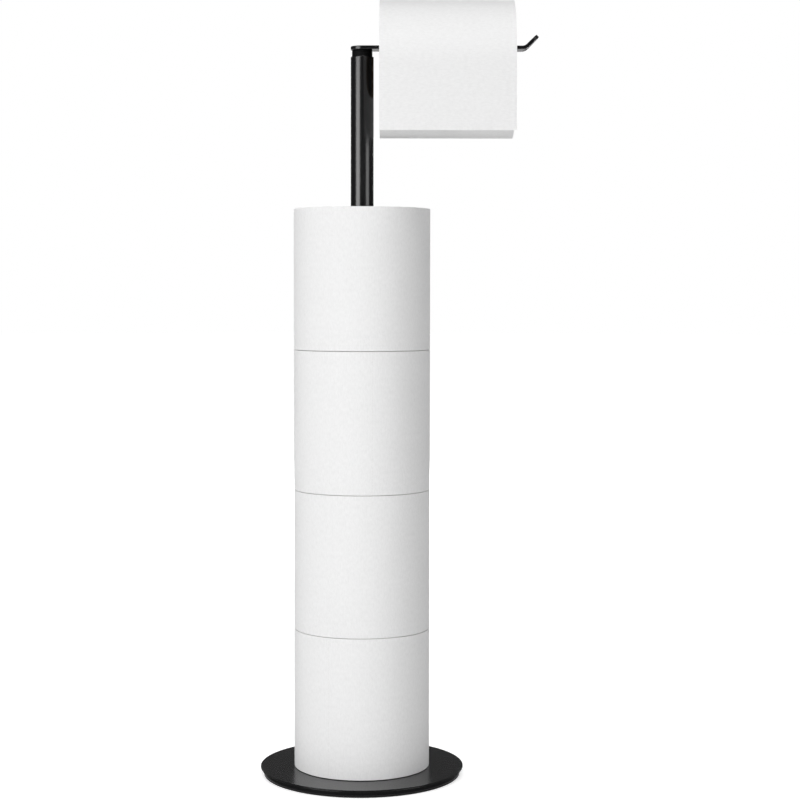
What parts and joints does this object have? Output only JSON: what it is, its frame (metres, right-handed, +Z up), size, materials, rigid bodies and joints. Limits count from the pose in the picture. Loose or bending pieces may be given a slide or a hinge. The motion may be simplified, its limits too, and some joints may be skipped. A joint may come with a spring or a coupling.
{
  "type": "freestanding toilet paper holder",
  "caption": "Freestanding toilet paper holder: a round weighted base, a post stacked with reserve rolls, and a lift-out swivel arm with a bent-up tip that holds the roll in use.",
  "frame": {"origin": "centre of the floor pad's underside, on the floor, under the post's axis", "axes": "+Z up along the post, +X along the arm towards its bent-up tip, -Y towards the front, where the sheet hangs"},
  "size_m": [0.2036, 0.15, 0.5675],
  "materials": {
    "powder_coat": "satin",
    "foam_rubber": "matte",
    "zinc_steel": "satin",
    "black_oxide_steel": "satin",
    "nylon": "matte",
    "tissue": "matte",
    "core_board": "matte"
  },
  "bodies": {
    "stand": {"floor_pad": "foam_rubber", "base_weight": "powder_coat", "base_cover": "powder_coat", "base_bolt": "zinc_steel", "post_foot_insert": "zinc_steel", "post_tube": "powder_coat", "arm_seat_disc": "zinc_steel"},
    "arm_plug": {"arm_plug": "nylon", "swivel_washer": "nylon", "arm_screw": "black_oxide_steel"},
    "arm": {"arm_strap": "powder_coat", "tail_sheet": "tissue"},
    "hanging_roll": {"hanging_roll_paper": "tissue", "hanging_roll_core": "core_board"},
    "reserve_roll_1": {"reserve_roll_1_paper": "tissue", "reserve_roll_1_core": "core_board"},
    "reserve_roll_2": {"reserve_roll_2_paper": "tissue", "reserve_roll_2_core": "core_board"},
    "reserve_roll_3": {"reserve_roll_3_paper": "tissue", "reserve_roll_3_core": "core_board"},
    "reserve_roll_4": {"reserve_roll_4_paper": "tissue", "reserve_roll_4_core": "core_board"}
  },
  "joints": [
    {"name": "arm_lift", "type": "slide", "parent": "stand", "child": "arm_plug", "axis": [0, 0, 1], "range_m": [0, 0.05]},
    {"name": "arm_swivel", "type": "hinge", "parent": "arm_plug", "child": "arm", "pos_m": [0, 0, 0.53193], "axis": [0, 0, 1], "continuous": true},
    {"name": "hanging_roll_spin", "type": "hinge", "parent": "arm", "child": "hanging_roll", "pos_m": [0.06125, 0, 0.5177], "axis": [1, 0, 0], "continuous": true},
    {"name": "reserve_roll_1_lift", "type": "slide", "parent": "stand", "child": "reserve_roll_1", "axis": [0, 0, 1], "range_m": [0, 0.012]},
    {"name": "reserve_roll_2_lift", "type": "slide", "parent": "reserve_roll_1", "child": "reserve_roll_2", "axis": [0, 0, 1], "range_m": [0, 0.012]},
    {"name": "reserve_roll_3_lift", "type": "slide", "parent": "reserve_roll_2", "child": "reserve_roll_3", "axis": [0, 0, 1], "range_m": [0, 0.012]},
    {"name": "reserve_roll_4_lift", "type": "slide", "parent": "reserve_roll_3", "child": "reserve_roll_4", "axis": [0, 0, 1], "range_m": [0, 0.012]}
  ]
}
